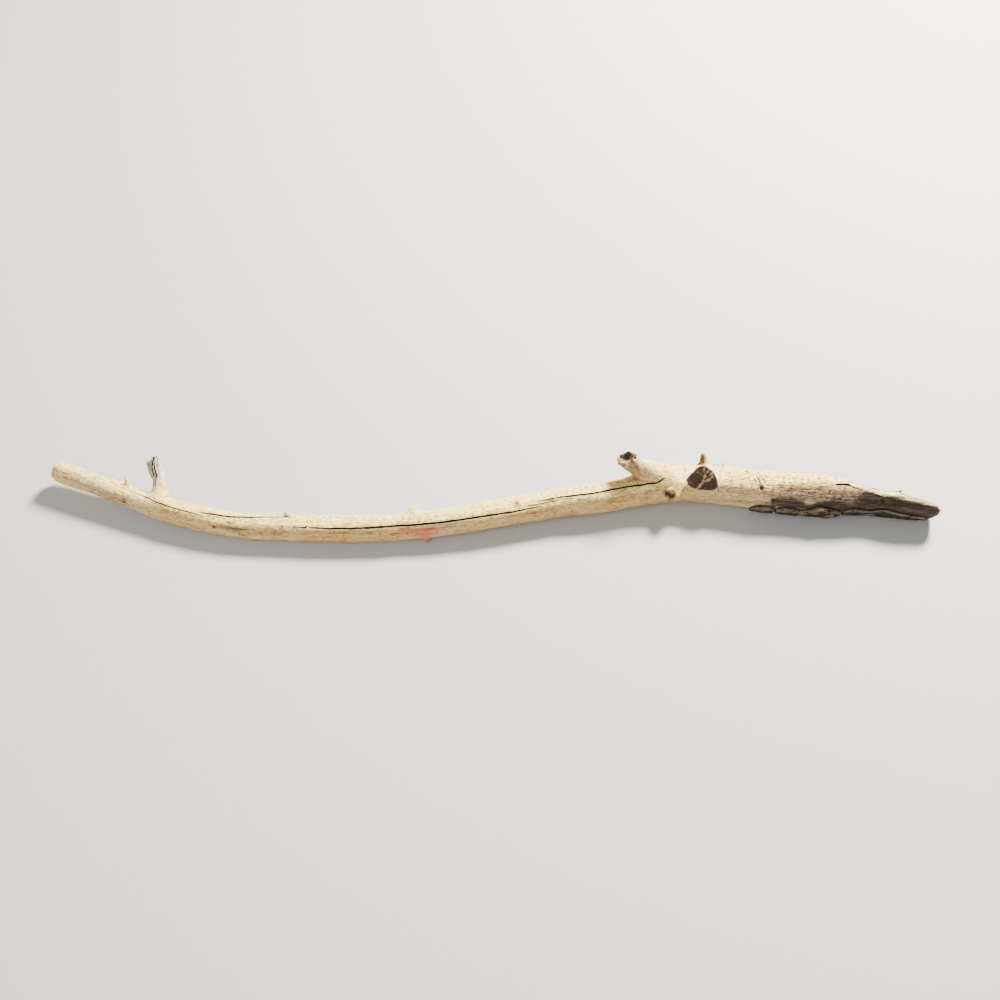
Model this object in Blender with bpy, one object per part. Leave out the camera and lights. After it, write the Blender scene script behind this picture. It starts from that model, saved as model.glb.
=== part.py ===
"""A driftwood limb lying on the ground. Metres, +Z up, near side towards -Y, thick end towards +X.

The stem is one loft along x, parted at the fork into limb and butt. An angle on it is counted in degrees
from its near side (0) over its top (90) to its far side (180). Side branches sit on it as saddles.
"""

import math

import bmesh
import bpy
import numpy as np
from mathutils import Vector, noise

GAP = 0.0003  # clearance between pieces that touch
BARK_GAP = 0.0012  # dark gap between the wood and its loose bark
SIDES = 20  # points round the stem
STEM_STEP = 0.0125  # distance between the stem's rings
FORK_X = 0.352  # where the thick end parts from the limb
STAND_OUT = 0.0012  # how far a crack's cutter stands out of the wood
CRACK_RADIUS = 0.025  # the stem's radius where it is cracked

# The stem's centre line: x, y, height of the underside, diameter
STEM = (
    (-0.800, 0.063, 0.014, 0.038),
    (-0.748, 0.045, 0.012, 0.039),
    (-0.671, 0.015, 0.008, 0.039),
    (-0.595, -0.015, 0.004, 0.041),
    (-0.520, -0.036, 0.001, 0.046),
    (-0.447, -0.051, -0.001, 0.046),
    (-0.340, -0.058, -0.0015, 0.047),
    (-0.233, -0.059, -0.0015, 0.048),
    (-0.162, -0.055, 0.000, 0.048),
    (-0.090, -0.048, 0.0015, 0.048),
    (-0.019, -0.036, 0.003, 0.050),
    (0.052, -0.023, 0.004, 0.050),
    (0.124, -0.008, 0.0045, 0.051),
    (0.197, 0.004, 0.004, 0.055),
    (0.270, 0.019, 0.002, 0.058),
    (0.325, 0.031, -0.0015, 0.062),
    (0.379, 0.033, -0.0015, 0.065),
    (0.415, 0.027, 0.002, 0.066),
    (0.486, 0.016, 0.004, 0.067),
    (0.557, 0.010, 0.004, 0.068),
    (0.620, 0.006, 0.004, 0.068),
    (0.676, 0.001, 0.008, 0.060),
    (0.734, -0.006, 0.006, 0.062),
    (0.800, -0.012, 0.005, 0.060),
)
# Worn ends: x, share of the radius
NOSE = ((-0.800, 0.60), (-0.797, 0.82), (-0.791, 0.95), (-0.783, 1.0))
TIP = ((0.780, 1.0), (0.792, 0.95), (0.800, 0.78))

# Swellings of the stem: x, angle, height, reach along x, reach in degrees
SWELLINGS = (
    (-0.596, 125, 0.005, 0.024, 40),
    (-0.137, 128, 0.003, 0.016, 30),
    (0.325, 105, 0.006, 0.045, 55),
    (0.340, 35, 0.004, 0.022, 34),
    (0.385, 70, 0.004, 0.035, 45),
    (0.492, 60, 0.002, 0.030, 40),
    (0.690, 30, -0.003, 0.030, 35),
)

# Unevenness of the skin: height, lumps along a metre, lumps around
LUMPS = ((0.0020, 8, 1.1), (0.0010, 31, 2.3))

# The splintered end: x, height of the break over the centre line as a share of the radius
BREAK = (
    (0.600, 1.25),
    (0.611, 1.02),
    (0.628, 0.83),
    (0.646, 0.64),
    (0.664, 0.52),
    (0.681, 0.42),
    (0.697, 0.31),
    (0.727, 0.29),
    (0.747, 0.18),
    (0.764, 0.10),
    (0.782, -0.02),
    (0.797, -0.18),
    (0.800, -0.30),
)
BREAK_ANGLE = 136  # the break faces the far side and up
BREAK_RIDGES = 0.003  # height of the ridges along its fibres
BREAK_FIBRES = (14, 170)  # ridges along and across a metre

# Drying cracks: x and angle of each point, then the widest opening and the depth
CRACKS = {
    "first_crack": (
        ((-0.648, 98), (-0.627, 94), (-0.592, 82), (-0.545, 75), (-0.515, 72)),
        0.0026,
        0.006,
    ),
    "first_crack_branch": (
        ((-0.516, 84), (-0.480, 89), (-0.447, 96), (-0.404, 108), (-0.361, 117)),
        0.0024,
        0.005,
    ),
    "long_crack": (
        (
            (-0.343, 63),
            (-0.300, 60),
            (-0.138, 60),
            (-0.055, 61),
            (0.012, 62),
            (0.065, 68),
            (0.084, 71),
        ),
        0.0036,
        0.009,
    ),
    "fork_crack": (
        ((0.080, 80), (0.124, 79), (0.170, 74), (0.222, 76), (0.262, 77), (0.298, 79), (0.322, 88)),
        0.0030,
        0.007,
    ),
    "broken_ledge": (
        ((0.618, 84), (0.634, 86), (0.648, 80)),
        0.0040,
        0.006,
    ),
}

# Loose bark under the near side: x, angle of the upper edge, angle of the lower edge, thickness
BARK = {
    "bark_sliver": (
        (0.470, -22, -60, 0.003),
        (0.484, -8, -74, 0.005),
        (0.498, -6, -78, 0.006),
        (0.511, -5, -70, 0.005),
    ),
    "bark_plate": (
        (0.514, -12, -66, 0.005),
        (0.538, -4, -82, 0.007),
        (0.563, -13, -88, 0.007),
        (0.584, 9, -88, 0.008),
        (0.605, 4, -84, 0.008),
        (0.629, -8, -70, 0.006),
    ),
    "bark_tip": (
        (0.632, -4, -60, 0.003),
        (0.654, 4, -74, 0.004),
        (0.680, -6, -80, 0.003),
        (0.702, 8, -78, 0.003),
        (0.740, 2, -76, 0.003),
        (0.765, -2, -66, 0.003),
        (0.784, -14, -50, 0.002),
    ),
}

# Side branches, from inside the stem outwards: x, y, z, half width, half depth
SNAG = (
    (-0.5945, -0.008, 0.027, 0.0175, 0.0150),
    (-0.5955, 0.006, 0.036, 0.0150, 0.0135),
    (-0.5965, 0.019, 0.043, 0.0118, 0.0110),
    (-0.5985, 0.034, 0.052, 0.0112, 0.0100),
    (-0.6035, 0.047, 0.060, 0.0122, 0.0090),
    (-0.6085, 0.059, 0.067, 0.0132, 0.0075),
)
FORK_STUB = (
    (0.356, 0.034, 0.034, 0.0230, 0.0220),
    (0.331, 0.034, 0.048, 0.0205, 0.0205),
    (0.303, 0.0345, 0.062, 0.0170, 0.0175),
    (0.278, 0.0355, 0.076, 0.0142, 0.0150),
    (0.260, 0.037, 0.088, 0.0145, 0.0150),
    (0.242, 0.042, 0.098, 0.0152, 0.0155),
)
FRONT_STUB = (
    (0.343, 0.022, 0.037, 0.0230, 0.0190),
    (0.337, 0.009, 0.044, 0.0165, 0.0145),
    (0.329, 0.000, 0.050, 0.0115, 0.0110),
    (0.3200, -0.008, 0.0555, 0.0095, 0.0090),
)
SAWN_STUB = (
    (0.388, 0.032, 0.034, 0.0330, 0.0240),
    (0.383, 0.024, 0.053, 0.0310, 0.0230),
    (0.3770, 0.0165, 0.0715, 0.0290, 0.0205),
)
BACK_PEG = (
    (0.386, 0.046, 0.049, 0.0130, 0.0120),
    (0.3855, 0.054, 0.057, 0.0108, 0.0095),
    (0.3845, 0.062, 0.067, 0.0075, 0.0070),
    (0.3840, 0.068, 0.076, 0.0050, 0.0050),
)
# Small growths that belong to the limb, with the same five values
GROWTHS = {
    "thorn": (
        (-0.656, 0.020, 0.034, 0.0055, 0.0055),
        (-0.656, 0.026, 0.044, 0.0030, 0.0030),
        (-0.657, 0.030, 0.049, 0.0008, 0.0008),
    ),
    "spur": (
        (-0.357, -0.050, 0.036, 0.0050, 0.0040),
        (-0.361, -0.041, 0.041, 0.0025, 0.0020),
        (-0.366, -0.037, 0.043, 0.0007, 0.0007),
    ),
    "cream_knot": (
        (-0.137, -0.045, 0.030, 0.0125, 0.0110),
        (-0.137, -0.034, 0.040, 0.0095, 0.0080),
        (-0.138, -0.026, 0.046, 0.0045, 0.0040),
    ),
    "red_knot": (
        (-0.117, -0.062, 0.018, 0.0050, 0.0050),
        (-0.116, -0.074, 0.012, 0.0040, 0.0035),
        (-0.1155, -0.079, 0.008, 0.0020, 0.0020),
    ),
}
# Cutters, with the same five values
KNOT_HOLE = (
    (0.4865, -0.014, 0.080, 0.0060, 0.0060),
    (0.4865, -0.003, 0.065, 0.0042, 0.0042),
    (0.4865, 0.001, 0.060, 0.0015, 0.0015),
)
SNAG_CLEFT = (
    (-0.6085, 0.074, 0.075, 0.0026, 0.0160),
    (-0.6050, 0.052, 0.0625, 0.0012, 0.0150),
    (-0.6030, 0.045, 0.0585, 0.0004, 0.0140),
)

WOOD_COLOURS = {
    "pale_wood": (0.80, 0.66, 0.47),
    "grey_wood": (0.62, 0.56, 0.48),
    "cut_wood": (0.22, 0.12, 0.07),
    "brown_wood": (0.52, 0.38, 0.24),
    "bark": (0.24, 0.17, 0.11),
}


def smooth(table, x):
    """The table's other columns at x, on a smooth curve through its rows."""
    rows = np.array(table)
    slopes = np.gradient(rows[:, 1:], rows[:, 0], axis=0)
    i = int(np.clip(np.searchsorted(rows[:, 0], x) - 1, 0, len(rows) - 2))
    span = rows[i + 1, 0] - rows[i, 0]
    t = float(np.clip((x - rows[i, 0]) / span, 0, 1))
    start = (2 * t**3 - 3 * t**2 + 1) * rows[i, 1:] + (t**3 - 2 * t**2 + t) * span * slopes[i]
    end = (3 * t**2 - 2 * t**3) * rows[i + 1, 1:] + (t**3 - t**2) * span * slopes[i + 1]
    return start + end


def centre(x):
    """The stem's centre at x."""
    y, underside, diameter = smooth(STEM, x)
    return Vector((x, y, underside + diameter / 2))


def cross_directions(x):
    """Unit vectors across the stem at x: towards the near side, and up."""
    along = (centre(x + 0.002) - centre(x - 0.002)).normalized()
    near = along.cross(Vector((0, 0, 1))).normalized()
    return near, near.cross(along)


def swelling(x, angle):
    """How far the stem's skin stands out of a round section here."""
    total = 0.0
    for where, side, height, reach, spread in SWELLINGS:
        turn = (angle - side + 180) % 360 - 180
        total += height * math.exp(-(((x - where) / reach) ** 2) - (turn / spread) ** 2)
    a = math.radians(angle)
    for height, per_metre, per_turn in LUMPS:
        around = Vector((0, math.cos(a), math.sin(a))) * per_turn
        total += height * noise.noise(around + Vector((per_metre * x, 7, 3)))
    return total


def skin(x, angle, out=0.0):
    """The point of the stem's surface at x and angle, moved out of it by out."""
    near, up = cross_directions(x)
    radius = smooth(STEM, x)[2] / 2
    for end in (NOSE, TIP):
        radius *= float(smooth(end, x)[0])
    a = math.radians(angle)
    reach = radius + swelling(x, angle) + out
    offset = near * (reach * math.cos(a)) + up * (reach * math.sin(a))
    if x > BREAK[0][0]:
        b = math.radians(BREAK_ANGLE)
        facing = near * math.cos(b) + up * math.sin(b)
        across = offset.dot(facing.cross(near.cross(up)))
        ridges = BREAK_RIDGES * noise.noise(Vector((BREAK_FIBRES[0] * x, BREAK_FIBRES[1] * across, 3)))
        limit = radius * float(smooth(BREAK, x)[0]) + ridges + out
        offset += facing * min(0.0, limit - offset.dot(facing))
    point = centre(x) + offset
    point.z = max(point.z, 0.0)
    return point


def loft(name, rings, collection, colour):
    """A closed body through rings of equal count, with a fan over each end."""
    count = len(rings[0])
    points = [p for ring in rings for p in ring]
    faces = []
    for r in range(len(rings) - 1):
        for k in range(count):
            a, b = r * count + k, r * count + (k + 1) % count
            faces.append((a, b, b + count, a + count))
    last = (len(rings) - 1) * count
    points += [sum(rings[0], Vector()) / count, sum(rings[-1], Vector()) / count]
    for k in range(count):
        following = (k + 1) % count
        faces.append((following, k, len(points) - 2))
        faces.append((last + k, last + following, len(points) - 1))
    mesh = bpy.data.meshes.new(name)
    mesh.from_pydata([tuple(p) for p in points], [], faces)
    surface = bmesh.new()
    surface.from_mesh(mesh)
    if surface.calc_volume(signed=True) < 0:
        bmesh.ops.reverse_faces(surface, faces=surface.faces)
    surface.to_mesh(mesh)
    surface.free()
    body = bpy.data.objects.new(name, mesh)
    collection.objects.link(body)
    if colour:
        mesh.materials.append(wood_material(name, WOOD_COLOURS[colour]))
    else:
        body.hide_render = True
        body.display_type = "WIRE"
    return body


def wood_material(name, colour):
    """Plain dry wood of one colour."""
    material = bpy.data.materials.new(name)
    material.use_nodes = True
    shader = material.node_tree.nodes["Principled BSDF"]
    shader.inputs["Base Color"].default_value = (*colour, 1)
    shader.inputs["Roughness"].default_value = 0.85
    material.diffuse_color = (*colour, 1)
    return material


def stem_rings(start, end, out=0.0):
    """Rings of the stem from start to end. With out, they are fatter by it and reach over both ends."""
    places = list(np.linspace(start, end, round((end - start) / STEM_STEP) + 1))
    if start < NOSE[-1][0]:
        places = [x for x, _ in NOSE] + [x for x in places if x > NOSE[-1][0] + STEM_STEP / 2]
    if out:
        places = [places[0] - 3 * out] + places + [places[-1] + 3 * out]
    return [[skin(x, 360 * k / SIDES - 90, out) for k in range(SIDES)] for x in places]


def branch(name, rows, collection, colour=None, sides=14, facing=None, ragged=0.0, hollow=0.0):
    """A side branch through the rows. facing tilts its end, ragged breaks it up and hollow sinks it."""
    centres = [Vector(row[:3]) for row in rows]
    rings = []
    for i, row in enumerate(rows):
        axis = (centres[min(i + 1, len(rows) - 1)] - centres[max(i - 1, 0)]).normalized()
        wide = (Vector((1, 0, 0)) - axis * axis.x).normalized()
        deep = axis.cross(wide)
        ring = []
        for k in range(sides):
            a = 2 * math.pi * k / sides
            bump = 1 + 0.10 * noise.noise(centres[i] * 60 + Vector((1.7 * math.cos(a), 1.7 * math.sin(a), 4)))
            ring.append(centres[i] + (wide * row[3] * math.cos(a) + deep * row[4] * math.sin(a)) * bump)
        rings.append(ring)
    if facing:
        normal = Vector(facing).normalized()
        rings[-1] = [p + axis * ((centres[-1] - p).dot(normal) / axis.dot(normal)) for p in rings[-1]]
    if ragged:
        rings[-1] = [p + axis * ragged * noise.noise(p * 190) for p in rings[-1]]
    if hollow:
        middle = sum(rings[-1], Vector()) / sides
        rings.append([middle.lerp(p, 0.66) - axis * 0.002 for p in rings[-1]])
        rings.append([middle.lerp(p, 0.42) - axis * hollow for p in rings[-2]])
    return loft(name, rings, collection, colour)


def crack_cutter(name, path, opening, depth, collection):
    """A wedge that follows the path on the stem and closes towards both ends."""
    count = max(4, round((path[-1][0] - path[0][0]) / 0.018))
    rings = []
    for i, x in enumerate(np.linspace(path[0][0], path[-1][0], count + 1)):
        share = 0.25 + 0.75 * math.sqrt(1 - (2 * i / count - 1) ** 2)
        angle = float(smooth(path, x)[0]) + 1.5 * noise.noise(Vector((40 * x, 7, 2)))
        half = math.degrees(opening * share / 2 / CRACK_RADIUS)
        lips = [skin(x, angle + half, STAND_OUT), skin(x, angle - half, STAND_OUT)]
        rings.append([*lips, skin(x, angle, -depth * share)])
    return loft(name, rings, collection, None)


def bark_body(name, rows, collection):
    """A curved plate that follows the stem's skin between its edges and rests on the ground."""
    count = max(5, round((rows[-1][0] - rows[0][0]) / 0.009))
    rings = []
    for i, x in enumerate(np.linspace(rows[0][0], rows[-1][0], count + 1)):
        top, bottom, thickness = smooth(rows, x)
        fray = 4 * noise.noise(Vector((90 * x, 3, 1)))
        angles = np.linspace(top + fray, bottom - fray, 7)
        swell = [1 + 0.35 * noise.noise(Vector((55 * x, angle / 14, 6))) for angle in angles]
        inner = [skin(x, angle, BARK_GAP) for angle in angles]
        outer = [skin(x, angle, BARK_GAP + thickness * s) for angle, s in zip(angles, swell)]
        rings.append(inner + outer[::-1])
    return loft(name, rings, collection, "bark")


def combine(body, other, operation):
    """Cut other from body, or join it to body."""
    modifier = body.modifiers.new(other.name, "BOOLEAN")
    modifier.operation = operation
    modifier.solver = "EXACT"
    modifier.object = other


for old in list(bpy.data.objects):
    bpy.data.objects.remove(old)
wood = bpy.data.collections.new("Driftwood")
cutters = bpy.data.collections.new("Cutters")
for group in (wood, cutters):
    bpy.context.scene.collection.children.link(group)

limb_span = (STEM[0][0], FORK_X - GAP / 2)
butt_span = (FORK_X + GAP / 2, STEM[-1][0])
limb = loft("limb", stem_rings(*limb_span), wood, "pale_wood")
butt = loft("butt", stem_rings(*butt_span), wood, "brown_wood")
limb_clearance = loft("limb_clearance", stem_rings(*limb_span, GAP), cutters, None)
butt_clearance = loft("butt_clearance", stem_rings(*butt_span, GAP), cutters, None)

for name, rows in GROWTHS.items():
    combine(limb, branch(name, rows, cutters, sides=8), "UNION")
combine(butt, branch("knot_hole", KNOT_HOLE, cutters, sides=8), "DIFFERENCE")

snag = branch("snag", SNAG, wood, "grey_wood", facing=(-0.20, 0.85, 0.50), ragged=0.006)
fork_stub = branch("fork_stub", FORK_STUB, wood, "pale_wood", 16, (-0.45, 0.10, 0.88), 0.005, 0.016)
front_stub = branch("front_stub", FRONT_STUB, wood, "pale_wood", 12, (-0.45, -0.80, 0.40), 0.003, 0.003)
sawn_stub = branch("sawn_stub", SAWN_STUB, wood, "cut_wood", 20, (-0.25, -0.62, 0.74))
back_peg = branch("back_peg", BACK_PEG, wood, "brown_wood", 10, ragged=0.002)
for stub in (snag, fork_stub, front_stub, sawn_stub, back_peg):
    for clearance in (limb_clearance, butt_clearance):
        combine(stub, clearance, "DIFFERENCE")
combine(snag, branch("snag_cleft", SNAG_CLEFT, cutters, sides=8), "DIFFERENCE")

for name, (path, opening, depth) in CRACKS.items():
    cutter = crack_cutter(name, path, opening, depth, cutters)
    combine(butt if name == "broken_ledge" else limb, cutter, "DIFFERENCE")
    if name == "fork_crack":
        combine(fork_stub, cutter, "DIFFERENCE")

for name, rows in BARK.items():
    bark_body(name, rows, wood)
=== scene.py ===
"""The look of the driftwood limb: one weathered skin over its stem and branches, parted at the forks.

Metres, +Z up. The near side faces -Y and the thick end points to +X. An angle on the stem is counted in
degrees from its near side (0) over its top (90) to its far side (180).
"""

import math

import bmesh
import bpy
import numpy as np
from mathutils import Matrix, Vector, noise


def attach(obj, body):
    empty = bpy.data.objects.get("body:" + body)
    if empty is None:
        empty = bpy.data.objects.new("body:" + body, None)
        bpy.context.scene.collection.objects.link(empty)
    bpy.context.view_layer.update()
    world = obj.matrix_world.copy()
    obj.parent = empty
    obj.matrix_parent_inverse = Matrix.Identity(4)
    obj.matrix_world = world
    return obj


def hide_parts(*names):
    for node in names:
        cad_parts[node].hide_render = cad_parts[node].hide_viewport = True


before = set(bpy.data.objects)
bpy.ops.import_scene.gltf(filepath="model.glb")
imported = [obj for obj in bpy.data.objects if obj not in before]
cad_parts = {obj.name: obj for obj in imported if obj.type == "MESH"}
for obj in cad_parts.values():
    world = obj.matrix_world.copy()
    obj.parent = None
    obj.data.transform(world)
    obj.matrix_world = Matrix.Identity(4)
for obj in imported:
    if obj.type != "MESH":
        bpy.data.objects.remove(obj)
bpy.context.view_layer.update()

# The stem as built: x, y, height of the underside, diameter
STEM = (
    (-0.800, 0.063, 0.014, 0.038),
    (-0.748, 0.045, 0.012, 0.039),
    (-0.671, 0.015, 0.008, 0.039),
    (-0.595, -0.015, 0.004, 0.041),
    (-0.520, -0.036, 0.001, 0.046),
    (-0.447, -0.051, -0.001, 0.046),
    (-0.340, -0.058, -0.0015, 0.047),
    (-0.233, -0.059, -0.0015, 0.048),
    (-0.162, -0.055, 0.000, 0.048),
    (-0.090, -0.048, 0.0015, 0.048),
    (-0.019, -0.036, 0.003, 0.050),
    (0.052, -0.023, 0.004, 0.050),
    (0.124, -0.008, 0.0045, 0.051),
    (0.197, 0.004, 0.004, 0.055),
    (0.270, 0.019, 0.002, 0.058),
    (0.325, 0.031, -0.0015, 0.062),
    (0.379, 0.033, -0.0015, 0.065),
    (0.415, 0.027, 0.002, 0.066),
    (0.486, 0.016, 0.004, 0.067),
    (0.557, 0.010, 0.004, 0.068),
    (0.620, 0.006, 0.004, 0.068),
    (0.676, 0.001, 0.008, 0.060),
    (0.734, -0.006, 0.006, 0.062),
    (0.800, -0.012, 0.005, 0.060),
)
# How the radius shrinks towards the worn left end and the broken right one: x, share of the radius
NOSE = ((-0.800, 0.30), (-0.7985, 0.56), (-0.795, 0.78), (-0.789, 0.92), (-0.779, 1.0))
TIP = ((0.780, 1.0), (0.792, 0.95), (0.800, 0.78))
# Swellings and a dent: x, angle, height, reach along, spread in degrees
SWELLINGS = (
    (-0.596, 125, 0.005, 0.024, 40),
    (-0.137, 128, 0.003, 0.016, 30),
    (0.325, 105, 0.006, 0.045, 55),
    (0.340, 35, 0.004, 0.022, 34),
    (0.385, 70, 0.004, 0.035, 45),
    (0.492, 60, 0.002, 0.030, 40),
    (0.690, 30, -0.003, 0.030, 35),
)
# Slow lumps of the whole stem: height, bumps a metre, bumps a turn
LUMPS = ((0.002, 8, 1.1), (0.001, 31, 2.3))
# The splintered break: x, distance from the centre line as a share of the radius
BREAK = (
    (0.600, 1.25), (0.611, 1.02), (0.628, 0.83), (0.646, 0.64), (0.664, 0.52),
    (0.681, 0.42), (0.697, 0.31), (0.727, 0.29), (0.747, 0.18), (0.764, 0.10),
    (0.782, -0.02), (0.797, -0.18), (0.800, -0.30),
)
# The break faces up and away, at this angle on the stem
BREAK_ANGLE = 136
# Left of this x the stem is the limb, right of it the butt
FORK_X = 0.352
# The stem's usual radius
MEAN_RADIUS = 0.025

# Side branches, from inside the stem outwards: x, y, z, half width, half depth
BRANCHES = {
    "snag": (
        (-0.5945, -0.008, 0.027, 0.0175, 0.015),
        (-0.5955, 0.006, 0.036, 0.015, 0.0135),
        (-0.5965, 0.019, 0.043, 0.0118, 0.011),
        (-0.5985, 0.034, 0.052, 0.0112, 0.01),
        (-0.6035, 0.047, 0.06, 0.0108, 0.0085),
        (-0.6048, 0.059, 0.068, 0.0088, 0.0068),
        (-0.604, 0.065, 0.0718, 0.0066, 0.0055),
    ),
    "snag_splinter": (
        (-0.606, 0.036, 0.052, 0.007, 0.006),
        (-0.6125, 0.047, 0.0595, 0.0062, 0.0048),
        (-0.6172, 0.055, 0.0645, 0.0048, 0.0034),
        (-0.619, 0.0595, 0.0672, 0.003, 0.0022),
    ),
    "snag_sliver": (
        (-0.606, 0.032, 0.0535, 0.005, 0.004),
        (-0.612, 0.0385, 0.058, 0.0034, 0.0026),
        (-0.6205, 0.0455, 0.0625, 0.001, 0.001),
    ),
    "fork_stub": (
        (0.356, 0.034, 0.034, 0.023, 0.022),
        (0.331, 0.034, 0.048, 0.0205, 0.0205),
        (0.30, 0.0335, 0.06, 0.02, 0.0185),
        (0.276, 0.0345, 0.073, 0.018, 0.0165),
        (0.258, 0.036, 0.0855, 0.0176, 0.016),
        (0.2415, 0.0415, 0.097, 0.0166, 0.0158),
    ),
    "front_stub": (
        (0.342, 0.022, 0.037, 0.021, 0.018),
        (0.335, 0.009, 0.0435, 0.015, 0.0135),
        (0.3265, -0.0012, 0.049, 0.0105, 0.01),
        (0.3178, -0.0095, 0.054, 0.0088, 0.0086),
    ),
    "sawn_stub": (
        (0.388, 0.032, 0.034, 0.033, 0.024),
        (0.383, 0.024, 0.053, 0.031, 0.023),
        (0.377, 0.0165, 0.0715, 0.029, 0.0205),
    ),
    "back_peg": (
        (0.386, 0.046, 0.049, 0.013, 0.012),
        (0.3855, 0.054, 0.057, 0.0108, 0.0095),
        (0.3845, 0.062, 0.067, 0.0075, 0.007),
        (0.384, 0.068, 0.076, 0.005, 0.005),
    ),
    "thorn": (
        (-0.656, 0.02, 0.034, 0.0085, 0.007),
        (-0.656, 0.027, 0.045, 0.0046, 0.0042),
        (-0.6575, 0.0325, 0.053, 0.0014, 0.0014),
    ),
    "spur": (
        (-0.352, -0.05, 0.036, 0.012, 0.0075),
        (-0.359, -0.0415, 0.0415, 0.0058, 0.0044),
        (-0.3665, -0.037, 0.046, 0.0018, 0.0016),
    ),
    "cream_knot": (
        (-0.136, -0.045, 0.03, 0.016, 0.012),
        (-0.138, -0.034, 0.04, 0.0125, 0.0095),
        (-0.14, -0.027, 0.0455, 0.0085, 0.0065),
    ),
    "red_knot": (
        (-0.117, -0.062, 0.018, 0.005, 0.005),
        (-0.116, -0.074, 0.012, 0.004, 0.0035),
        (-0.1155, -0.079, 0.008, 0.003, 0.0028),
    ),
    "left_splinter": (
        (0.418, 0.05, 0.05, 0.0038, 0.0028),
        (0.412, 0.056, 0.0575, 0.0024, 0.0018),
        (0.406, 0.062, 0.064, 0.001, 0.001),
    ),
    "right_splinter": (
        (0.427, 0.05, 0.05, 0.0038, 0.0028),
        (0.422, 0.0555, 0.056, 0.0022, 0.0017),
        (0.417, 0.06, 0.062, 0.001, 0.001),
    ),
    "break_splinter": (
        (0.73, 0.009, 0.028, 0.006, 0.004),
        (0.738, 0.014, 0.033, 0.0034, 0.0024),
        (0.7445, 0.018, 0.0365, 0.001, 0.001),
    ),
}
# The sawn face's corners on its own plane, to the right and away from the near side
SAWN_FACE = (
    (0.0292, -0.0128), (0.0244, 0.0041), (0.019, 0.0135), (0.005, 0.0232),
    (-0.0066, 0.0218), (-0.020, 0.008), (-0.0292, -0.0043), (-0.0262, -0.012),
    (-0.016, -0.0178), (-0.0043, -0.0211), (0.0222, -0.0206),
)
# How each branch ends: the way its end faces, how ragged it is, how deep its hollow is, its fillet's size
ENDS = {
    "snag": ((-0.10, 0.85, 0.50), 0.003, 0.0, 0.009),
    "snag_splinter": (None, 0.002, 0.0, 0.003),
    "snag_sliver": (None, 0.0, 0.0, 0.003),
    "fork_stub": ((-0.45, 0.10, 0.88), 0.008, 0.009, 0.030),
    "front_stub": ((-0.45, -0.80, 0.40), 0.004, 0.003, 0.017),
    "sawn_stub": ((-0.25, -0.62, 0.74), 0.0, 0.0, 0.010),
    "back_peg": (None, 0.002, 0.0, 0.010),
    "thorn": (None, 0.0, 0.0, 0.003),
    "spur": (None, 0.0, 0.0, 0.003),
    "cream_knot": (None, 0.0, 0.0, 0.014),
    "red_knot": (None, 0.0, 0.0, 0.006),
    "left_splinter": (None, 0.0, 0.0, 0.002),
    "right_splinter": (None, 0.0, 0.0, 0.002),
    "break_splinter": (None, 0.0, 0.0, 0.002),
}
# The side branches that part from the stem as pieces of their own, and what belongs to each
STUBS = {name: (name,) for name in ("snag", "fork_stub", "front_stub", "sawn_stub", "back_peg")}
STUBS["snag"] += ("snag_splinter", "snag_sliver")
# How much nearer to a branch than to the stem a face lies when it goes with the branch
STUB_MARGIN = 0.002
# How deep under the skin the pieces are closed
CAP_DEPTH = 0.003
# How far the fork's fillet stands over the stem
FORK_FILL = 0.015

# Drying cracks and grooves: x and angle of each point, then the widest opening and the depth
CRACKS = (
    (((-0.655, 98), (-0.627, 94), (-0.592, 82), (-0.545, 75), (-0.512, 72)), 0.0021, 0.007),
    (((-0.516, 84), (-0.480, 89), (-0.447, 96), (-0.404, 108), (-0.350, 118)), 0.0038, 0.006),
    (
        ((-0.352, 63), (-0.300, 60), (-0.138, 59), (-0.055, 56), (0.012, 54), (0.065, 56), (0.088, 58)),
        0.0035,
        0.011,
    ),
    (
        (
            (0.078, 80), (0.124, 79), (0.170, 74), (0.222, 76),
            (0.255, 75), (0.273, 72), (0.291, 69), (0.307, 75),
        ),
        0.0032,
        0.009,
    ),
    (((0.058, 66), (0.088, 68), (0.122, 66)), 0.002, 0.003),
    (((0.092, 75), (0.118, 72), (0.150, 66)), 0.0016, 0.003),
    (((-0.327, 70), (-0.324, 66), (-0.3205, 61)), 0.0026, 0.005),
    (((-0.467, 66), (-0.458, 63), (-0.449, 66)), 0.0022, 0.004),
    (((0.612, 84), (0.634, 86), (0.652, 80)), 0.0046, 0.007),
    (((0.642, 77), (0.655, 78), (0.668, 73)), 0.0034, 0.005),
    (((0.4738, 101), (0.478, 85), (0.484, 66)), 0.0026, 0.004),
    (((0.4822, 104), (0.487, 86), (0.4913, 73)), 0.0024, 0.0038),
    (((0.468, 92), (0.472, 82), (0.4765, 72)), 0.002, 0.003),
)

# Size of the skin's mesh
VOXEL = 0.00163
# The rows of the stem, and the points of a crack, are this far apart
STATION_STEP = 0.003
CRACK_STEP = 0.004
# How far the cutters stand over the skin that they cut
CUTTER_TOP = 0.0022
# A branch is read at this many places along it
PLACES = 60


def smooth(table, x):
    """The table's other columns at each x, on a smooth curve through its rows."""
    rows = np.array(table)
    slopes = np.gradient(rows[:, 1:], rows[:, 0], axis=0)
    x = np.clip(np.atleast_1d(x), rows[0, 0], rows[-1, 0])
    i = np.clip(np.searchsorted(rows[:, 0], x) - 1, 0, len(rows) - 2)
    span = (rows[i + 1, 0] - rows[i, 0])[:, None]
    t = (x - rows[i, 0])[:, None] / span
    start = (2 * t**3 - 3 * t**2 + 1) * rows[i, 1:] + (t**3 - 2 * t**2 + t) * span * slopes[i]
    end = (3 * t**2 - 2 * t**3) * rows[i + 1, 1:] + (t**3 - t**2) * span * slopes[i + 1]
    return start + end


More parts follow.
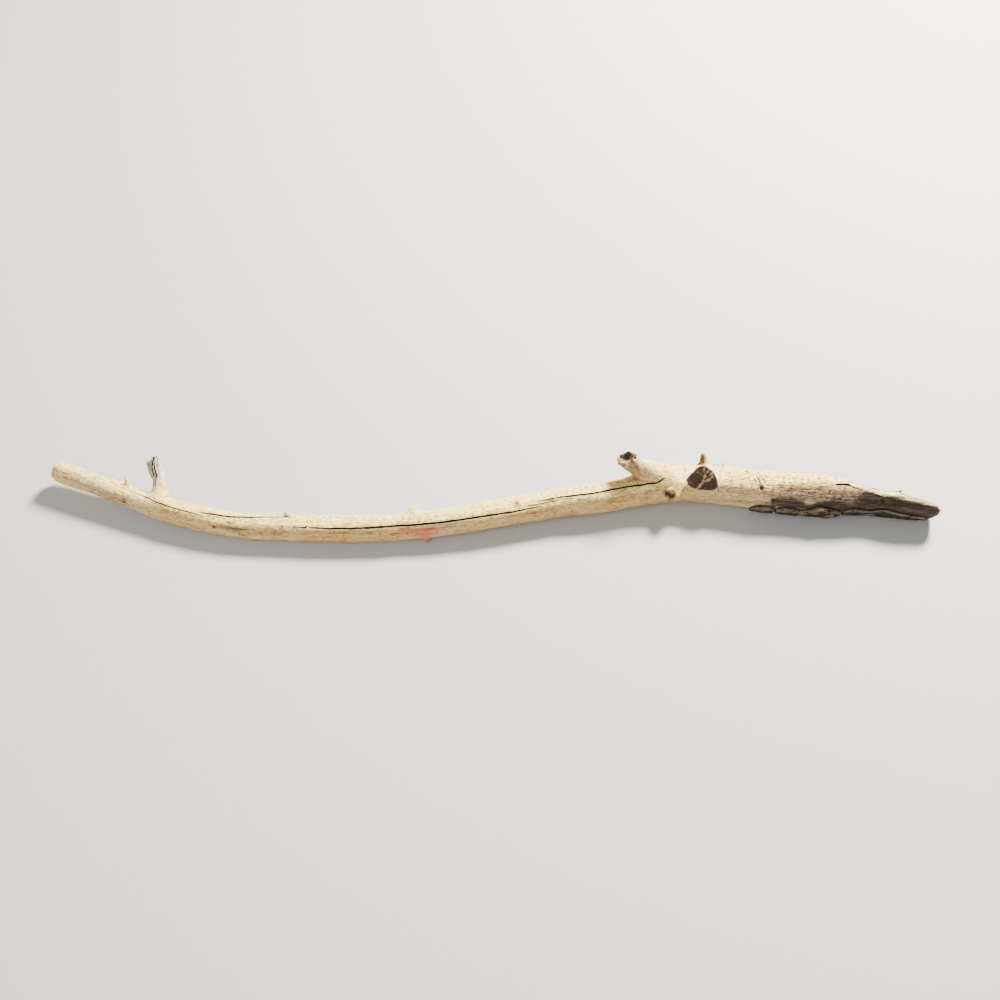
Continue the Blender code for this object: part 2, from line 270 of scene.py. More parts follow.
def unit(vectors):
    return vectors / np.linalg.norm(vectors, axis=-1, keepdims=True)


def steps(points):
    """The distance from each point to the next."""
    return np.linalg.norm(np.diff(points, axis=0), axis=1)


def dots(a, b):
    return np.sum(a * b, axis=-1)


def lift(values, chosen, least):
    """Lifts the chosen values to at least this."""
    values[chosen] = np.maximum(values[chosen], least)


def ramp(value, low, high):
    """0 at low, 1 at high, smooth between and level beyond; low may be the larger."""
    t = np.clip((value - low) / (high - low), 0, 1)
    return t * t * (3 - 2 * t)


def wave(points, *scale):
    """Smooth noise between about -1 and 1 at the points, each axis scaled."""
    scaled = points * np.array(scale if len(scale) > 1 else scale * 3)
    return np.array([noise.noise(p) for p in scaled.tolist()])


def ripple(x, per_metre, *lane):
    """Smooth noise along x; the two lane numbers keep one use of it apart from another."""
    return wave(np.column_stack([x, *(np.full_like(x, number) for number in lane)]), per_metre, 1, 1)


def centre_line(x):
    y, underside, diameter = smooth(STEM, x).T
    return np.column_stack([np.atleast_1d(x), y, underside + diameter / 2]), diameter / 2


def stem(x):
    """Centre, radius, and unit vectors along, towards the near side and up, for each x."""
    centre, radius = centre_line(x)
    along = unit(centre_line(x + 0.002)[0] - centre_line(x - 0.002)[0])
    near = unit(np.cross(along, [0, 0, 1]))
    return centre, radius, along, near, np.cross(near, along)


def turn_from(angle, side):
    """Degrees between two angles, from -180 to 180."""
    return (angle - side + 180) % 360 - 180


def spot(x, angle, where, side, reach, spread):
    """1 at a place on the stem, fading over reach metres and spread degrees."""
    return np.exp(-(((x - where) / reach) ** 2) - (turn_from(angle, side) / spread) ** 2)


def stem_place(points):
    """Where points lie by the stem: station x, angle, and distance from the centre line."""
    x = points[:, 0].copy()
    for _ in range(4):
        centre, _, along, near, up = stem(x)
        x += dots(points - centre, along) * along[:, 0]
    offset = points - centre
    return x, np.degrees(np.arctan2(dots(offset, up), dots(offset, near))), np.linalg.norm(offset, axis=1)


def stem_radius(x, angle):
    """The stem's radius with its swellings and lumps, without the break."""
    radius = centre_line(x)[1] * smooth(NOSE, x)[:, 0] * smooth(TIP, x)[:, 0]
    for where, side, height, reach, spread in SWELLINGS:
        radius = radius + height * spot(x, angle, where, side, reach, spread)
    a = np.radians(angle)
    for height, per_metre, per_turn in LUMPS:
        around = np.column_stack([per_metre * x + 7, per_turn * np.cos(a) + 3, per_turn * np.sin(a)])
        radius = radius + height * wave(around, 1)
    return radius


def break_facing(near, up):
    """The way in which the splintered break faces."""
    b = math.radians(BREAK_ANGLE)
    return near * math.cos(b) + up * math.sin(b)


def skin(x, angle, out=0.0):
    """Points of the stem's surface, moved out of it by out."""
    x, angle = np.broadcast_arrays(np.atleast_1d(np.asarray(x, float)), np.asarray(angle, float))
    centre, radius, _, near, up = stem(x)
    a = np.radians(angle)[:, None]
    offset = (near * np.cos(a) + up * np.sin(a)) * (stem_radius(x, angle) + out)[:, None]
    facing = break_facing(near, up)
    across = dots(offset, np.cross(facing, np.cross(near, up)))
    ridges = 0.003 * wave(np.column_stack([14 * x, 170 * across, np.full_like(x, 3)]), 1)
    limit = np.where(x > BREAK[0][0], radius * smooth(BREAK, x)[:, 0] + ridges + out, 1)
    offset += facing * np.minimum(0, limit - dots(offset, facing))[:, None]
    return centre + offset


def loft(rings):
    """Vertices and faces of a closed body through rings of equal count, with a fan over each end."""
    rings = [np.asarray(r) for r in rings]
    count, last = len(rings[0]), (len(rings) - 1) * len(rings[0])
    points = np.concatenate([*rings, [rings[0].mean(0)], [rings[-1].mean(0)]])
    k = np.arange(count)
    following = (k + 1) % count
    faces = []
    for start in range(0, last, count):
        quads = np.column_stack([start + k, start + following, start + following + count, start + k + count])
        faces += quads.tolist()
    for a, b in zip(k.tolist(), following.tolist()):
        faces += [(b, a, len(points) - 2), (last + a, last + b, len(points) - 1)]
    return points, faces


def add(name, data):
    """A new object in the scene."""
    made = bpy.data.objects.new(name, data)
    bpy.context.scene.collection.objects.link(made)
    return made


def body(name, bodies):
    """An object of one or more closed bodies, each wound outwards."""
    mesh = bpy.data.meshes.new(name)
    points, faces, start = [], [], 0
    for p, f in bodies:
        part = bpy.data.meshes.new("part")
        part.from_pydata(p.tolist(), [], f)
        shape = bmesh.new()
        shape.from_mesh(part)
        if shape.calc_volume(signed=True) < 0:
            f = [face[::-1] for face in f]
        shape.free()
        bpy.data.meshes.remove(part)
        points += p.tolist()
        faces += [[i + start for i in face] for face in f]
        start += len(p)
    mesh.from_pydata(points, [], faces)
    return add(name, mesh)


def settle(made):
    """Puts the modifiers' result into the mesh."""
    deps = bpy.context.evaluated_depsgraph_get()
    mesh = bpy.data.meshes.new_from_object(made.evaluated_get(deps), depsgraph=deps)
    made.modifiers.clear()
    old, made.data = made.data, mesh
    bpy.data.meshes.remove(old)
    return made


def cut(made, tools):
    """Cuts the tools from the body and marks the faces that they leave."""
    # faces left by the cutters are marked 1 here; the material paints them with painted shade
    for mesh, mark in ((made.data, 0.0), *((tool.data, 1.0) for tool in tools)):
        held = mesh.attributes.new("inside", "FLOAT", "FACE")
        held.data.foreach_set("value", [mark] * len(mesh.polygons))
    for tool in tools:
        modifier = made.modifiers.new(tool.name, "BOOLEAN")
        modifier.operation, modifier.solver, modifier.object = "DIFFERENCE", "MANIFOLD", tool
    return settle(made)


def remove(objects):
    for made in objects:
        bpy.data.objects.remove(made)


def read(items, field):
    """One vector of each item of a mesh, as rows."""
    values = np.empty(len(items) * 3)
    items.foreach_get(field, values)
    return values.reshape(-1, 3)


def place(mesh, points):
    """Moves the mesh's vertices to the points."""
    mesh.vertices.foreach_set("co", points.ravel())
    mesh.update()


def relax(mesh, points, weight, rounds):
    """Moves each point towards the middle of its neighbours, by its weight."""
    ends = np.empty(len(mesh.edges) * 2, dtype=np.int64)
    mesh.edges.foreach_get("vertices", ends)
    a, b = ends.reshape(-1, 2).T
    count = np.bincount(ends, minlength=len(points))[:, None]
    for _ in range(rounds):
        total = [np.bincount(a, p[b], len(p)) + np.bincount(b, p[a], len(p)) for p in points.T]
        points = points + (np.transpose(total) / count - points) * weight[:, None]
    return points


def branch_line(name, count):
    """Centres, unit vectors along, across and deep, and half sizes, at count places along a branch."""
    rows = BRANCHES[name]
    table = np.column_stack([np.arange(len(rows)), rows])
    t = np.linspace(0, len(rows) - 1, count)
    values = smooth(table, t)
    centre = values[:, :3]
    along = unit(np.gradient(centre, axis=0))
    wide = unit(np.array([1.0, 0, 0]) - along * along[:, :1])
    return centre, along, wide, np.cross(along, wide), values[:, 3:]


def sawn_plane():
    """The sawn face's middle, its normal, and its own directions to the right and away."""
    normal = unit(np.array(ENDS["sawn_stub"][0]))
    right = unit(np.array([1.0, 0, 0]) - normal * normal[0])
    return np.array(BRANCHES["sawn_stub"][-1][:3]), normal, right, np.cross(normal, right)


def sawn_reach(angles):
    """How far the sawn face's outline lies from its middle, to the right and away, at each angle."""
    corners = np.array(SAWN_FACE)
    turns = np.arctan2(corners[:, 1], corners[:, 0])
    return np.column_stack([np.interp(angles, turns, side, period=2 * np.pi) for side in corners.T])


def on_sawn_face(points):
    """1 on the sawn face, 0 elsewhere, and the points' places on it."""
    middle, normal, right, away = sawn_plane()
    offset = points - middle
    local = np.column_stack([dots(offset, right), dots(offset, away)])
    reach = np.linalg.norm(sawn_reach(np.arctan2(local[:, 1], local[:, 0])), axis=1)
    level = ramp(np.abs(dots(offset, normal)), 0.0045, 0.0015)
    return level * ramp(np.linalg.norm(local, axis=1) - reach, 0.0006, -0.001), local


def branch_rings(name):
    """The rings of a branch, with its end faced, broken up and hollowed."""
    facing, ragged, hollow, _ = ENDS[name]
    sides, count = 64, 40
    centre, along, wide, deep, size = branch_line(name, count)
    a = np.linspace(0, 2 * np.pi, sides, endpoint=False)
    rings = []
    for i in range(count):
        round_about = np.column_stack([1.7 * np.cos(a), 1.7 * np.sin(a), np.full(sides, 4)])
        bump = 1 + 0.10 * wave(centre[i] * 60 + round_about, 1)
        flat = wide[i] * (size[i, 0] * np.cos(a))[:, None] + deep[i] * (size[i, 1] * np.sin(a))[:, None]
        rings.append(centre[i] + flat * bump[:, None])
    axis = along[-1]
    if facing:
        normal = unit(np.array(facing))
        for back in range(1, count // 4):
            share = 1 - (back - 1) / (count // 4)
            ring = rings[-back]
            slide = dots(centre[-back] - ring, normal) / (axis @ normal)
            rings[-back] = ring + axis * (slide * share**2)[:, None]
    if name == "sawn_stub":
        middle, _, right, away = sawn_plane()
        outline = sawn_reach(a)
        change = middle + right * outline[:, :1] + away * outline[:, 1:] - rings[-1]
        for back in range(1, 25):
            rings[-back] = rings[-back] + change * ramp(back, 25, 1)
    if ragged:
        for back in range(1, 7):
            ring = rings[-back]
            rough = wave(rings[-1] if back == 1 else ring, 190) + 0.6 * wave(ring, 480)
            rings[-back] = ring + axis * (ragged * rough / back)[:, None]
    if hollow:
        middle = rings[-1].mean(0)
        lip = rings[-1]
        for share, depth in ((0.86, 0.0), (0.74, 0.2), (0.62, 0.55), (0.48, 0.85), (0.25, 1.0)):
            rings.append(middle + (lip - middle) * share - axis * hollow * depth)
    return rings


def branch_place(points, name):
    """How far along a branch points lie, where across it, and how far out of its side."""
    centre, along, wide, deep, size = branch_line(name, PLACES)
    travelled = np.concatenate([[0], np.cumsum(steps(centre))])
    far = np.linalg.norm(points[:, None] - centre[None], axis=2)
    i = far.argmin(axis=1)
    offset = points - centre[i]
    across = np.column_stack([dots(offset, wide[i]), dots(offset, deep[i])])
    angle = np.arctan2(across[:, 1] / size[i, 1], across[:, 0] / size[i, 0])
    radius = np.hypot(size[i, 0] * np.cos(angle), size[i, 1] * np.sin(angle))
    return travelled[i] + dots(offset, along[i]), across, np.linalg.norm(across, axis=1) - radius


def beside_branch(points, name, margin=0.02):
    """Which points lie in the box round a branch, and where they lie by it."""
    rows = np.array(BRANCHES[name])
    reach = rows[:, 3].max() + margin
    inside = (points > rows[:, :3].min(0) - reach) & (points < rows[:, :3].max(0) + reach)
    chosen = np.flatnonzero(np.all(inside, axis=1))
    return chosen, *branch_place(points[chosen], name)


def whole_wood():
    """The stem and every branch as one skin, with a fillet round the foot of each branch."""
    stations = np.concatenate([[r[0] for r in NOSE[:-1]], np.arange(-0.785, 0.8, STATION_STEP), [0.8]])
    angles = np.arange(0, 360, 5.0)
    bodies = [loft([skin(np.full(len(angles), x), angles) for x in stations])]
    bodies += [loft(branch_rings(name)) for name in BRANCHES]
    made = body("wood", bodies)
    remesh = made.modifiers.new("skin", "REMESH")
    remesh.mode, remesh.voxel_size, remesh.use_smooth_shade = "VOXEL", VOXEL, True
    settle(made)
    points = read(made.data.vertices, "co")
    x, angle, distance = stem_place(points)
    by_stem = distance - stem_radius(x, angle)
    weight, push = np.zeros(len(points)), np.zeros(len(points))
    for name in BRANCHES:
        fillet = ENDS[name][3]
        chosen, travelled, _, by_branch = beside_branch(points, name, fillet + 0.005)
        meet = np.clip(1 - np.abs(by_branch - by_stem[chosen]) / fillet, 0, 1)
        meet *= ramp(by_stem[chosen], fillet * 1.2, fillet * 0.5) * ramp(travelled, 0.002, 0.012)
        if name == "fork_stub":
            meet *= ramp(x[chosen], 0.345, 0.300)
        if name == "front_stub":
            meet *= ramp(branch_place(points[chosen], "sawn_stub")[2], 0.002, 0.012)
        push[chosen] += meet**2 * fillet / 4
        lift(weight, chosen, meet)
    points += read(made.data.vertex_normals, "vector") * push[:, None]
    points = relax(made.data, points, 0.6 * np.sqrt(weight), 45)
    points = relax(made.data, points, np.full(len(points), 0.30), 1)
    place(made.data, points)
    return made


def grain_place(points, x, angle, distance):
    """Coordinates that run with the fibres: along, and two across, in metres. Branches have their own."""
    a = np.radians(angle)
    grain = np.column_stack([x, distance * np.cos(a), distance * np.sin(a)])
    for name in BRANCHES:
        chosen, travelled, across, out = beside_branch(points, name)
        own = np.column_stack([BRANCHES[name][0][0] - 0.7 * travelled, across + 0.01])
        by_stem = distance[chosen] - centre_line(x[chosen])[1]
        weight = ramp(by_stem, 0.002, 0.010) * ramp(out, 0.010, 0.003)
        grain[chosen] += (own - grain[chosen]) * weight[:, None]
    return grain


def broken(points, x):
    """How far points stand over the splintered break's plane; far below it away from the break."""
    centre, radius, _, near, up = stem(x)
    facing = break_facing(near, up)
    over = dots(points - centre, facing) - radius * smooth(BREAK, x)[:, 0]
    return np.where(x > BREAK[0][0], over, -1)


def past_lobe(x, angle):
    """How far a place is to the right of the edge in which the fork's swelling ends."""
    return x - 0.325 - 0.019 * (angle - 16) / 29


def fork_lobe(x, angle):
    """1 on the swelling that runs from the fork's top down to the front stub, just left of its edge."""
    past = past_lobe(x, angle)
    across = ramp(past, 0.0012, -0.0012) * ramp(past, -0.026, -0.006)
    return across * ramp(angle, 12, 22) * ramp(angle, 70, 58)


# Small knots and pits: x, angle, radius, depth
KNOTS = (
    (-0.486, 32, 0.0034, 0.0016),
    (-0.368, 62, 0.0028, 0.0012),
    (-0.652, 28, 0.004, 0.001),
    (0.046, 86, 0.0044, 0.002),
    (0.484, 58, 0.0038, 0.004),
    (0.506, 20, 0.005, 0.0016),
    (0.698, 42, 0.0046, 0.0018),
    (0.370, 100, 0.0022, 0.001),
)


def from_knot(x, angle, where, side, size):
    """Distance over the stem's skin from a knot's middle, in radii of the knot."""
    return np.hypot(x - where, np.radians(turn_from(angle, side)) * MEAN_RADIUS) / size


def weather(made):
    """Gives the skin its fibres, furrows, dents, splinters and pits."""
    points = read(made.data.vertices, "co")
    normals = read(made.data.vertex_normals, "vector")
    x, angle, distance = stem_place(points)
    grain = grain_place(points, x, angle, distance)
    rough = 0.45 + 0.55 * ramp(x, 0.30, 0.62)
    height = 0.00030 * wave(grain, 26, 380, 380)
    height += 0.00070 * rough * wave(grain, 8, 110, 110)
    height += 0.00080 * wave(points, 28)
    height += 0.00055 * rough * wave(points, 75)
    furrow = wave(grain + 3, 5, 130, 130)
    height -= 0.0010 * rough * np.exp(-((furrow / 0.07) ** 2)) * ramp(wave(points + 5, 9), -0.1, 0.3)
    pits = wave(grain + 8, 95, 240, 240)
    height -= 0.0009 * ramp(pits, 0.42, 0.62) * ramp(x, 0.36, 0.44) * ramp(angle, 35, 60)
    over = broken(points, x)
    on_break = ramp(over, -0.004, -0.001)
    splinter = wave(grain, 11, 210, 210)
    height += on_break * (0.0016 * splinter + 0.0012 * np.sign(splinter) * np.abs(splinter) ** 0.3)
    near_tip = ramp(x, 0.62, 0.70) * (1 - on_break)
    height += near_tip * 0.0010 * wave(grain, 16, 60, 60)
    # growth wrinkles round the foot of the front stub
    foot = np.array(BRANCHES["front_stub"][1][:3])
    far = np.linalg.norm(points - foot, axis=1)
    rings = np.sin((far + 0.003 * wave(points, 60)) * 2 * np.pi / 0.0045)
    height += 0.0004 * rings * ramp(far, 0.034, 0.018) * ramp(far, 0.008, 0.014)
    # the swelling of the fork ends in a step on its right
    height += 0.0036 * fork_lobe(x, angle) + 0.0060 * spot(x, angle, 0.334, 62, 0.016, 17)
    for *knot, depth in KNOTS:
        far = from_knot(x, angle, *knot)
        height += depth * (0.6 * np.exp(-((far - 1.2) ** 2) / 0.12) - np.exp(-((far / 0.7) ** 2)))
    sawn, _ = on_sawn_face(points)
    height = height * (1 - sawn) + sawn * (0.0012 * wave(points, 130) + 0.0008 * wave(points, 300))
    points = points + normals * height[:, None]
    # right of the swelling the front stub falls off to the stem
    chosen, _, _, out = beside_branch(points, "front_stub", 0.004)
    sawn_out = branch_place(points[chosen], "sawn_stub")[2]
    flank = ramp(past_lobe(x, angle)[chosen], -0.006, -0.002)
    flank *= ramp(out, 0.010, 0.005) * ramp(sawn_out, 0.003, 0.009)
    over_stem = np.maximum((distance + height - stem_radius(x, angle))[chosen] - 0.0005, 0)
    outwards = unit(points[chosen] - centre_line(x[chosen])[0])
    points[chosen] -= outwards * (0.85 * flank * over_stem)[:, None]
    points[:, 2] = np.maximum(points[:, 2], 0)
    place(made.data, points)


def crack_cutter(path, opening, depth):
    """A wedge that follows the path on the stem and closes towards both ends."""
    bend = np.array(path, float)
    count = max(8, round(steps(bend * [1, 0.0005]).sum() / CRACK_STEP))
    i = np.arange(count + 1)
    share = 0.25 + 0.75 * np.sqrt(1 - np.abs(2 * i / count - 1) ** 3)
    x = np.linspace(bend[0, 0], bend[-1, 0], count + 1)
    angle = smooth(path, x)[:, 0]
    radius = centre_line(x)[1]
    run, rise = np.gradient(x), np.gradient(np.radians(angle)) * radius
    steep = np.hypot(run, rise)
    angle = angle + (1.6 * ripple(x, 40, 7, 2) + 1.1 * ripple(x, 150, 7, 2)) * run / steep
    half = opening / 2 * share * (1 + 0.30 * ripple(x, 90, 7, 2))
    side_x, side_angle = -half * rise / steep, np.degrees(half * run / steep / radius)
    above = CUTTER_TOP + FORK_FILL * ramp(x, 0.24, 0.30) * ramp(x, 0.36, 0.33)
    wall, bottom = -depth * share * 0.35, -depth * share
    rows = []
    for side, out in ((1.1, above), (0.8, wall), (0, bottom), (-0.8, wall), (-1.1, above)):
        rows.append(skin(x + side * side_x, angle + side * side_angle, out))
    return loft(list(np.stack(rows, axis=1)))


def slit_cutter(name, start, end, angle, opening, depth):
    """A wedge along a branch's side, from start to end of its length; angle 270 faces the camera."""
    centre, along, wide, deep, size = branch_line(name, PLACES)
    count = 12
    i = (np.linspace(start, end, count) * (PLACES - 1)).round().astype(int)
    a = math.radians(angle)
    towards = wide[i] * math.cos(a) + deep[i] * math.sin(a)
    side = np.cross(along[i], towards)
    radius = np.hypot(size[i, 0] * math.cos(a), size[i, 1] * math.sin(a))[:, None]
    past_end = 0.014 * (np.arange(count)[:, None] == count - 1) * (end >= 1)
    base = centre[i] + along[i] * past_end
    share = np.linspace(0.04, 1, count)[:, None]
    taper = np.sqrt(share if end >= 1 else 1.04 - (2 * share - 1) ** 2) * opening / 2
    wander = 0.0008 * wave(base, 120)[:, None]
    top = base + towards * (radius + 0.004)
    bottom = base + towards * (radius - depth)
    rows = [top + side * (wander + taper), bottom + side * wander, top + side * (wander - taper)]
    return loft(list(np.stack(rows, axis=1)))


def store(mesh, name, values):
    """Keeps one value or one vector a vertex under this name."""
    kind, field = ("FLOAT_VECTOR", "vector") if values.ndim == 2 else ("FLOAT", "value")
    held = mesh.attributes.new(name, kind, "POINT")
    held.data.foreach_set(field, np.ascontiguousarray(values, np.float32).ravel())


# Brown and grey stains, and painted shade in the fork's crotch (the row at 0.256, 98): x, angle, reach
# along, spread in degrees, strength
STAINS_AND_SHADE = (
    (-0.464, 36, 0.026, 10, 0.70),
    (-0.440, 42, 0.014, 6, 0.60),
    (-0.425, 24, 0.022, 5, 0.45),
    (-0.385, 32, 0.012, 6, 0.50),
    (-0.260, 42, 0.014, 4, 0.80),
    (-0.220, 38, 0.009, 4, 0.75),
    (-0.176, 26, 0.010, 5, 0.85),
    (-0.650, 30, 0.010, 8, 0.35),
    (0.078, 34, 0.022, 8, 0.40),
    (0.092, 58, 0.018, 4, 0.45),
    (0.162, 55, 0.016, 4, 0.40),
    (0.455, 0, 0.040, 9, 0.65),
    (0.527, 22, 0.026, 11, 1.30),
    (0.602, 17, 0.032, 12, 1.50),
    (0.562, 4, 0.050, 10, 1.40),
    (0.645, 6, 0.030, 10, 1.10),
    (0.564, 20, 0.007, 12, -1.00),
    (0.486, 10, 0.020, 8, 0.50),
    (0.256, 98, 0.016, 12, 0.45),
)
# Pink and red places, the same way
BLUSHES = (
    (-0.134, 32, 0.036, 15, 0.95),
    (-0.092, 33, 0.030, 9, 0.60),
    (-0.116, -8, 0.012, 32, 0.90),
    (-0.668, 62, 0.050, 16, 0.26),
    (-0.720, 52, 0.050, 20, 0.22),
    (-0.250, 48, 0.100, 6, 0.22),
    (0.080, 32, 0.034, 14, 0.42),
    (0.262, 96, 0.026, 18, 0.16),
    (0.685, 34, 0.018, 26, 0.45),
)
# The pale strokes on the sawn face, from corner to corner on its own plane
SAWN_BAND = (
    ((0.005, 0.006), (0.001, -0.006), (-0.0035, -0.0135), (-0.009, -0.0185)),
    ((0.001, -0.006), (0.011, -0.003), (0.018, 0.0045)),
    ((0.0045, 0.019), (0.0025, 0.013)),
    ((0.012, 0.016), (0.0085, 0.0105)),
    ((0.0185, 0.0115), (0.014, 0.008)),
)
# The stubs' dark ends: reach along the stub, strength, and where the dark fades out of its side
DARK_ENDS = (
    ("fork_stub", 0.014, 0.9, 0.0012, -0.0015),
    ("front_stub", 0.012, 1.0, 0.0036, 0.0006),
    ("back_peg", 0.020, 0.5, 0.0012, -0.0015),
)


def tint_branches(points, streak, bleach_and_light, stain_and_shade, grey, hollow_shade, torn):
    """Tints the branches: darker broken ends, the silver snag, painted shade on two shaded sides, and
    painted shade in the fork stub's hollow.
    """
    for name, reach, strength, outer, inmost in DARK_ENDS:
        chosen, travelled, _, out = beside_branch(points, name, 0.0)
        length = steps(np.array(BRANCHES[name])[:, :3]).sum()
        inner = ramp(out, outer, inmost)
        ragged = travelled + 0.004 * streak[chosen] - length
        fibres = 0.55 + 0.45 * ramp(streak[chosen], -0.25, 0.15)
        lift(stain_and_shade, chosen, strength * fibres * inner * ramp(ragged, -reach, -reach + 0.006))
        rim = strength * ramp(ragged, -0.010, -0.001) * (1 - inner) * ramp(out, 0.004, 0.0015)
        if name == "front_stub":
            rim = 0.5 * inner * ramp(streak[chosen], -0.1, -0.3)
        lift(torn, chosen, rim)
        if name == "fork_stub":
            # painted shade in the hollow of the fork stub's end
            deep = 0.6 * ramp(out, -0.003, -0.007) * ramp(travelled, length - 0.020, length - 0.006)
            lift(hollow_shade, chosen, deep * ramp(streak[chosen], -0.1, 0.2))
    for name in STUBS["snag"]:
        chosen, travelled, _, out = beside_branch(points, name, 0.004)
        start = 0.024 if name == "snag" else 0.0
        silver = ramp(travelled, start, start + 0.018) * ramp(out, 0.010, 0.004)
        lift(grey, chosen, silver)
        lift(bleach_and_light, chosen, silver)
    # painted shade on the back peg's left side: less bleached and browner
    chosen, travelled, across, out = beside_branch(points, "back_peg", 0.0)
    shaded = ramp(across[:, 0], 0.003, -0.001) * ramp(travelled, 0.006, 0.012) * ramp(out, 0.004, 0.001)
    bleach_and_light[chosen] *= 1 - 0.8 * shaded
    lift(stain_and_shade, chosen, 0.75 * shaded)
    # painted shade on the fork stub's underside: less bleached and less of the pale torn colour
    chosen, travelled, across, out = beside_branch(points, "fork_stub", 0.0)
    under = ramp(across[:, 0], 0.012, 0.000) * ramp(travelled, 0.020, 0.034) * ramp(out, 0.010, 0.004)
    bleach_and_light[chosen] *= 1 - 0.85 * under
    torn[chosen] *= 1 - 0.7 * under


def sawn_strokes(points, local):
    """1 on the pale strokes of the sawn face, for points with these places on its plane."""
    band = np.zeros(len(points))
    ragged = 0.0022 * wave(points, 260)
    for line in SAWN_BAND:
        for start, end in zip(np.array(line), np.array(line[1:])):
            stroke = end - start
            t = np.clip((local - start) @ stroke / (stroke @ stroke), 0, 1)
            far = np.linalg.norm(local - start - t[:, None] * stroke, axis=1)
            band = np.maximum(band, ramp(far + ragged, 0.003, 0.0006))
    return band


def tint(made):
    """Works out where the wood is bleached and painted lit, stained and painted shaded, grey, red or freshly
    broken, and where painted shade fills hollows, gaps and knot pits.
    """
    points = read(made.data.vertices, "co")
    x, angle, distance = stem_place(points)
    grain = grain_place(points, x, angle, distance)
    on_break = ramp(broken(points, x), -0.0045, -0.0015)
    patch = wave(points, 14) + 0.5 * wave(points, 40)
    streak = wave(grain, 9, 120, 120)
    uneven = angle + 11 * patch + 9 * streak
    steady = angle + 4 * patch + 5 * streak
    # lighter top and darker lower side: partly sun bleaching, partly painted light on the lit top and
    # painted shade on the lower side
    bleach_and_light = ramp(uneven - 34 * ramp(x, 0.46, 0.54), 36, 64) * ramp(uneven, 215, 165)
    bleach_and_light = np.maximum(bleach_and_light, 0.45 * ramp(x, -0.70, -0.78))
    # painted shade right of the edge where the fork's swelling ends, and painted light on the swelling
    # itself
    fork = ramp(x, 0.330, 0.340) * ramp(x, 0.415, 0.385)
    bleach_and_light *= 1 - fork * ramp(past_lobe(x, angle), -0.001, 0.001) * ramp(uneven, 70, 56)
    bleach_and_light *= 1 - 0.8 * spot(x, uneven, 0.630, 40, 0.026, 18)
    bleach_and_light = np.maximum(bleach_and_light, 0.9 * fork_lobe(x, angle) * ramp(past_lobe(x, angle), -0.016, -0.008))
    # the painted lit top carries down to the upper lip of each main crack
    for path, _, _ in CRACKS[:4]:
        below = turn_from(smooth(path, x)[:, 0], angle)
        along = ramp(x, path[0][0], path[0][0] + 0.03) * ramp(x, path[-1][0], path[-1][0] - 0.03)
        bleach_and_light = np.maximum(bleach_and_light, 0.8 * along * ramp(below, -1, 1) * ramp(below + 3 * streak, 12, 7))
    # the butt darker below its top and on its near face by the tip: partly dirt, partly painted shade
    stain_and_shade = 0.64 * ramp(x, 0.46, 0.56) * ramp(uneven, 90, 64)
    face = ramp(x + 0.012 * patch + 0.005 * streak, 0.650, 0.680) * ramp(uneven, 76, 66)
    stain_and_shade += (0.85 + 0.45 * ramp(x, 0.690, 0.715)) * face * (1 - on_break)
    for *where, strength in STAINS_AND_SHADE:
        stain_and_shade += strength * spot(x + 0.010 * patch, steady, *where)
    stain_and_shade *= 0.9 + 0.5 * patch
    blush = sum(strength * spot(x, steady, *where) for *where, strength in BLUSHES)
    grey = 0.22 * ramp(patch, 0.1, 0.6) + 0.25 * ramp(x, 0.36, 0.42) * ramp(uneven, 60, 45)
    grey += 0.20 * ramp(x, 0.46, 0.56) * ramp(uneven, 84, 60)
    hollow_shade = np.zeros(len(points))
    # painted shade in the middles of knot pits; the brown ring round each is stain
    for *knot, _ in KNOTS:
        far = from_knot(x, angle, *knot)
        hollow_shade = np.maximum(hollow_shade, 0.85 * ramp(far, 0.9, 0.3))
        stain_and_shade = np.maximum(stain_and_shade, 0.35 * ramp(far, 2.2, 1.0))
    # painted shade in the gap just above each loose bark plate's upper edge
    for rows in BARK.values():
        beside = turn_from(angle, smooth(rows, x)[:, 0])
        start, end = rows[0][0], rows[-1][0]
        along = ramp(x, start - 0.003, start + 0.004) * ramp(x, end + 0.006, end - 0.002)
        hollow_shade = np.maximum(hollow_shade, 0.92 * along * ramp(beside + 4 * streak, 9, 4) * ramp(beside, -30, -20))
    torn = np.zeros(len(points))
    tint_branches(points, streak, bleach_and_light, stain_and_shade, grey, hollow_shade, torn)
    sawn, local = on_sawn_face(points)
    store(made.data, "grain", grain)
    values = {"bleach_and_light": bleach_and_light, "stain_and_shade": stain_and_shade, "grey": grey, "blush": blush, "hollow_shade": hollow_shade, "cut": sawn}
    values["band"] = sawn_strokes(points, local)
    values["fleck"] = ramp(uneven, 20, 55) * (0.6 + 0.4 * ramp(x, 0.36, 0.42))
    values["torn"] = np.maximum(on_break, torn)
    for name, value in values.items():
        store(made.data, name, np.clip(value, 0, 1))


